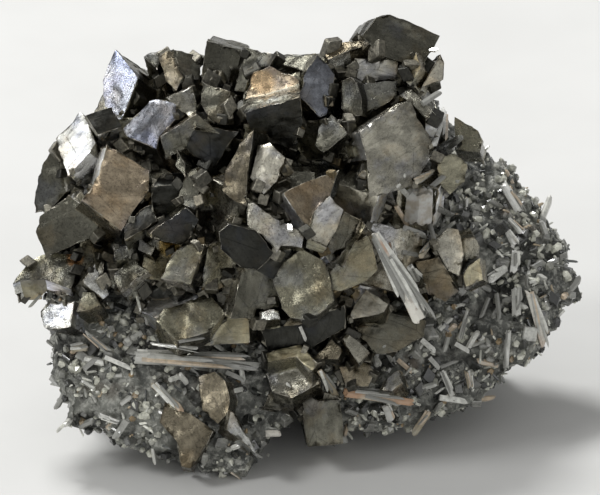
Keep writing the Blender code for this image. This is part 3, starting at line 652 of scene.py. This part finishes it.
def crystal_piece(node, seed):
    """The worn, marked and roughened piece of one CAD crystal."""
    shape = shape_of(node)
    facet_of = shape.faces.layers.int.new("facet")
    shape.faces.ensure_lookup_table()
    marks = face_marks(shape, facet_of, random.Random(seed))
    buried = {
        corner for corner in shape.verts if rock_tree.find_nearest(corner.co)[3] < BURIED
    }
    corners = [
        edge for edge in shape.edges
        if edge.is_convex and edge.calc_length() > 3 * WORN_EDGE and edge.calc_face_angle(0) > 0.35
        and not buried.issuperset(edge.verts)
    ]
    worn = bmesh.ops.bevel(
        shape, geom=corners, offset=WORN_EDGE, offset_type="OFFSET", segments=1, profile=0.5,
        affect="EDGES", clamp_overlap=False, material=-1,
    )
    for face in worn["faces"]:
        face[facet_of] = len(marks) - 1
    hidden = [
        corner for corner in shape.verts
        if not any(face[facet_of] == len(marks) - 1 for face in corner.link_faces)
        and rock_tree.find_nearest(corner.co)[3] < BURIED
    ]
    refine(shape, CRYSTAL_EDGE, keep=hidden)
    raise_by(shape, crystal_relief(facet_of, len(marks) - 1))
    facets = np.array([face[facet_of] for face in shape.faces])
    piece = piece_from(shape, node, crystal_finish, [node])
    mark_faces(piece, facets, marks)
    return piece


crystals = [crystal_piece(node, number) for number, node in enumerate(CRYSTAL_NODES)]

# Small crystals that fill the gaps between the large ones, away from the rock.
gap_finish = Finish("gap_crystals", Metallic=1.0)
tone = gap_finish.attribute("tone")
gap_colour = gap_finish.mix(tone.between(0.0, 0.8), (0.07, 0.069, 0.06), (0.34, 0.32, 0.26))
gap_colour = gap_finish.mix(tone.between(0.9, 0.97), gap_colour, (0.24, 0.19, 0.11))
speckle = gap_finish.grain(2200, 5, 0.75)
gap_colour = gap_finish.mix(speckle.between(0.4, 0.65, 0.6, 0.0), gap_colour, (0.02, 0.02, 0.02))
gap_finish.feed("Base Color", gap_colour)
gap_finish.feed("Roughness", speckle.between(0.3, 0.7, 0.3, 0.55))
gap_finish.bump(speckle, 0.4, 0.0002)
points, facing = picked_places(crystals[0], GAP_PLACES, rolls)
in_gap = ~uncovered(points + facing * SKIN, facing, crystal_tree, GAP_DEPTH)
in_gap &= uncovered(points + facing * SKIN, facing, crystal_tree, GAP_OPENING)
in_gap &= uncovered(points + facing * SKIN, facing, rock_tree, CLEARANCE)
points, facing = points[in_gap][:GAP_CRYSTALS], facing[in_gap][:GAP_CRYSTALS]
width = rolls.uniform(0.7, 1.55, len(points)) ** 2
sizes = width[:, None] * rolls.uniform(0.7, 1.2, (len(points), 3)) * MM
joined_crystals(
    "gap_crystals", block_forms, points, standing_frames(facing, (0, 1.2), rolls), sizes, gap_finish,
    rolls,
)

# Small clear crystals that have spread from the rock over the nearest arsenopyrite.
points, facing = picked_places(crystals[0], OVERGROWTH, rolls)
near_rock = np.array([rock_tree.find_nearest(Vector(point))[3] for point in points])
overgrown = (near_rock > 0.2 * MM) & (near_rock < rolls.uniform(*OVERGROWTH_REACH, len(points)) * MM)
overgrown &= uncovered(points + facing * SKIN, facing, crystal_tree, CLEARANCE)
points, facing = points[overgrown], facing[overgrown]
width = rolls.uniform(0.15, 0.5, len(points))
sizes = np.stack([width, width * 0.8, width * rolls.uniform(1.2, 5.0, len(points))], 1) * MM
joined_crystals(
    "overgrowth", column_forms, points, standing_frames(facing, (0.3, 1.45), rolls), sizes,
    needle_finish, rolls,
)

# Flakes of fresh, untarnished face that catch the window light: each has its place in the
# photograph and its width in millimetres.
GLINTS = [
    (252, 345, 1.5), (290, 228, 1.3), (485, 162, 0.8), (322, 256, 1.2),
    (434, 50, 1.1), (356, 287, 1.1), (268, 455, 0.6), (282, 372, 0.8), (133, 146, 0.8), (228, 150, 0.8),
]
WINDOW = Vector((-0.40, 0.62, 1.17))
glint_finish = Finish("fresh_flakes", Base_Color=(0.93, 0.92, 0.88, 1), Metallic=1.0, Roughness=0.28)
shining = (WINDOW.normalized() + TO_FRONT).normalized()
seen_tree = tree_of(["matrix", *CRYSTAL_NODES])
flakes = np.array([
    seen_tree.ray_cast(spot(x, y, 100), -TO_FRONT)[0] or spot(x, y) for x, y, width in GLINTS
])
widths = np.array([width for x, y, width in GLINTS])[:, None]
turns = standing_frames(np.array([shining] * len(flakes)), (0, 0.12), rolls)
joined_crystals(
    "fresh_flakes", block_forms, flakes, turns, widths * (1.0, 0.6, 0.35) * MM, glint_finish,
    rolls,
)

# The pale prisms: flattened six-sided columns of a clear to milky mineral, laid down over the
# crystals and the rock. Each is a closed mesh with fine ribs along it and broken ends.
PRISM_COLOURS = {
    "pink": ((0.46, 0.29, 0.18), (0.50, 0.46, 0.36)),
    "tan": ((0.34, 0.29, 0.20), (0.44, 0.41, 0.33)),
    "rosy": ((0.48, 0.31, 0.21), (0.70, 0.68, 0.61)),
    "grey": ((0.34, 0.34, 0.31), (0.56, 0.56, 0.52)),
    "white": ((0.54, 0.54, 0.5), (0.8, 0.8, 0.76)),
}
RIB_HEIGHT = 0.05 * MM
END_TEAR = 0.7 * MM
SLIVERS = 4
SHEAF_SLIVERS = {"quartz_great_prism": 14, "quartz_grey_sheaf": 9}
PRISM_EDGE = 0.35 * MM
PRISM_BEVEL = 0.07 * MM
SLIVER_TURN = 0.13
PRISM_LOOKS = {
    "pink": ("long_pink", "pink_column"),
    "rosy": ("great_prism", "great_prism_side", "right_tall"),
    "tan": ("gold_prism", "left_tan", "middle_tan", "small_tan", "low_blade", "lower_right_blade"),
    "grey": ("grey_sheaf", "grey_sheaf_thin", "grey_stub", "left_grey_column", "right_block"),
}
prism_finishes = {}
for look, (first, second) in PRISM_COLOURS.items():
    finish = Finish(f"{look}_prism", Roughness=0.35, Coat_Weight=0.3)
    streaks = finish.grain(700, 5, 0.65)
    colour = finish.mix(finish.grain(190, 3).between(0.42, 0.58), first, second)
    colour = finish.mix(streaks.between(0.5, 0.7, 0.0, 0.6), colour, tuple(part * 0.45 for part in first))
    finish.feed("Base Color", colour)
    finish.bump(streaks, 0.5, 0.0004)
    prism_finishes[look] = finish
glass_finish = Finish("glassy_prism", Roughness=0.08, Transmission_Weight=0.5, IOR=1.54)
glass_finish.feed("Base Color", glass_finish.mix(
    glass_finish.grain(400, 3).between(0.4, 0.6), (0.85, 0.85, 0.82), (0.6, 0.55, 0.46),
))
glass_finish.bump(glass_finish.grain(900, 3), 0.3, 0.0003)


def prism_piece(node):
    """One CAD prism with bevelled edges, ribs along it and torn ends."""
    title = node.replace("quartz_", "")
    column = shape_of(node)
    longest = max(column.edges, key=lambda edge: edge.calc_length())
    way = (longest.verts[1].co - longest.verts[0].co).normalized()
    bmesh.ops.bevel(
        column, geom=column.edges, offset=PRISM_BEVEL, offset_type="OFFSET", segments=1, profile=0.5,
        affect="EDGES", clamp_overlap=True, material=-1,
    )
    refine(column, PRISM_EDGE)
    reach = [corner.co.dot(way) for corner in column.verts]
    middle, half = (max(reach) + min(reach)) / 2, (max(reach) - min(reach)) / 2

    def ribs(corner):
        flat = corner.co - way * corner.co.dot(way) * 0.93
        return noise.fractal(flat / (0.35 * MM), 0.8, 2.0, 3) * RIB_HEIGHT - RIB_HEIGHT

    raise_by(column, ribs)
    for corner in column.verts:
        far = (corner.co.dot(way) - middle) / half
        flat = corner.co - way * corner.co.dot(way)
        torn = max(0.0, abs(far) - 0.6) / 0.4 * (0.5 + noise.noise(flat / (0.45 * MM)))
        corner.co -= way * math.copysign(torn * END_TEAR, far)
    look = next((look for look, titles in PRISM_LOOKS.items() if title in titles), "white")
    finish = glass_finish if title == "glassy_hexagon" else prism_finishes[look]
    return piece_from(column, f"pale_{title}", finish, [node])


for node in PRISM_NODES:
    prism_piece(node)


def sliver_places(node):
    """Thin columns that lie along a prism's front side, each turned a little off its way."""
    column = shape_of(node)
    longest = max(column.edges, key=lambda edge: edge.calc_length())
    way = (longest.verts[1].co - longest.verts[0].co).normalized()
    aside = way.cross(TO_FRONT).normalized()
    width = max(corner.co.dot(aside) for corner in column.verts)
    width -= min(corner.co.dot(aside) for corner in column.verts)
    tree = BVHTree.FromBMesh(column)
    places = []
    for turn in range(SHEAF_SLIVERS.get(node, SLIVERS)):
        start = longest.verts[0].co.lerp(longest.verts[1].co, chance.uniform(0.02, 0.4))
        start += aside * chance.uniform(-0.6, 0.6) * width + TO_FRONT * 30 * MM
        hit = tree.ray_cast(start, -TO_FRONT)[0] or tree.find_nearest(start - TO_FRONT * 30 * MM)[0]
        up = way + aside * chance.uniform(-SLIVER_TURN, SLIVER_TURN)
        up = (up + TO_FRONT * chance.uniform(-0.02, 0.06)).normalized()
        over = up.cross(TO_FRONT).normalized()
        size = (
            width * chance.uniform(0.25, 0.5), width * chance.uniform(0.2, 0.35),
            longest.calc_length() * chance.uniform(0.4, 0.72),
        )
        places.append((hit, (over, up.cross(over), up), size))
    column.free()
    return places


# Single small prisms: both ends in points of the photograph and the width in millimetres.
SMALL_PRISMS = [
    ((422, 104), (440, 92), 0.9), ((402, 252), (418, 255), 0.7), ((498, 294), (501, 320), 0.7),
    ((490, 298), (482, 318), 0.6), ((430, 358), (440, 369), 0.7), ((441, 368), (458, 361), 0.5),
    ((440, 398), (467, 402), 0.9), ((180, 341), (204, 337), 0.5), ((260, 365), (290, 385), 0.5),
    ((127, 420), (115, 438), 1.0), ((84, 369), (98, 357), 0.8), ((105, 357), (131, 368), 0.7),
    ((145, 308), (148, 324), 0.7), ((398, 186), (412, 200), 0.8), ((396, 206), (408, 226), 0.7),
    ((428, 190), (444, 176), 0.8), ((432, 206), (452, 214), 0.9), ((404, 228), (426, 236), 0.9),
    ((430, 224), (436, 246), 0.7), ((404, 176), (424, 178), 0.6), ((388, 224), (404, 240), 0.6),
    ((446, 196), (458, 180), 0.7), ((300, 326), (306, 340), 0.5), ((212, 342), (226, 352), 0.6),
    ((384, 346), (392, 362), 0.6), ((226, 372), (244, 380), 0.7), ((440, 330), (452, 318), 0.8),
    ((422, 340), (436, 352), 0.8), ((398, 360), (412, 372), 0.7), ((456, 344), (470, 352), 0.7),
]


def lying_place(first, last, width):
    """A column laid on what the camera sees between two points of the photograph."""
    ends = [seen_tree.ray_cast(spot(x, y, 100), -TO_FRONT)[0] or spot(x, y) for x, y in (first, last)]
    up = (ends[1] - ends[0]).normalized()
    over = up.cross(TO_FRONT).normalized()
    size = (width * MM, width * 0.7 * MM, (ends[1] - ends[0]).length)
    return ends[0] + TO_FRONT * 0.15 * MM, (over, up.cross(over), up), size


bundled = [node for node in PRISM_NODES if "hexagon" not in node]
slivers = [place for node in bundled for place in sliver_places(node)]
slivers += [lying_place(*prism) for prism in SMALL_PRISMS]
joined_crystals(
    "prism_slivers", column_forms, np.array([hit for hit, turn, size in slivers]),
    np.array([turn for hit, turn, size in slivers]).transpose(0, 2, 1),
    np.array([size for hit, turn, size in slivers]), column_finish, rolls,
)

# The stage: a pale floor, soft light from the upper left and the camera at the photograph's
# angle.
CAMERA_DISTANCE = 1.2
PHOTO_WIDTH = 600
AIM = spot(300, 247.5)
floor_shape = bmesh.new()
bmesh.ops.create_grid(floor_shape, x_segments=2, y_segments=2, size=3.0)
floor_mesh = bpy.data.meshes.new("floor")
floor_shape.to_mesh(floor_mesh)
floor_shape.free()
floor_finish = Finish("pale_floor", Roughness=0.8, Specular_IOR_Level=0.2)
paper = floor_finish.grain(30, 3).between(0.3, 0.7)
floor_finish.feed("Base Color", floor_finish.mix(paper, (0.57, 0.57, 0.555), (0.60, 0.60, 0.585)))
floor_mesh.materials.append(floor_finish.material)
floor = bpy.data.objects.new("floor", floor_mesh)
bpy.context.scene.collection.objects.link(floor)


def soft_light(name, place, size, power, colour=(1, 1, 1)):
    lamp = bpy.data.lights.new(name, "AREA")
    lamp.shape = "DISK"
    lamp.size = size
    lamp.energy = power
    lamp.color = colour
    holder = bpy.data.objects.new(name, lamp)
    holder.location = place
    holder.rotation_euler = (AIM - Vector(place)).to_track_quat("-Z", "Y").to_euler()
    bpy.context.scene.collection.objects.link(holder)


soft_light("window", WINDOW, 0.4, 16.5)
soft_light("left_panel", (-1.0, -0.35, 1.0), 0.4, 8.0)
soft_light("front_panel", (0.35, -1.2, 0.28), 0.9, 2.2)

world = bpy.data.worlds.new("studio")
world.use_nodes = True
bpy.context.scene.world = world
world.node_tree.nodes["Background"].inputs["Color"].default_value = (0.45, 0.45, 0.45, 1)

camera_data = bpy.data.cameras.new("camera")
camera = bpy.data.objects.new("camera", camera_data)
camera.location = AIM + TO_FRONT * CAMERA_DISTANCE
camera.rotation_euler = (-TO_FRONT).to_track_quat("-Z", "Y").to_euler()
camera_data.sensor_width = 36
camera_data.lens = camera_data.sensor_width * CAMERA_DISTANCE / (PHOTO_WIDTH * POINT)
camera_data.clip_end = 20
bpy.context.scene.collection.objects.link(camera)
bpy.context.scene.camera = camera
bpy.context.scene.view_settings.view_transform = "Standard"
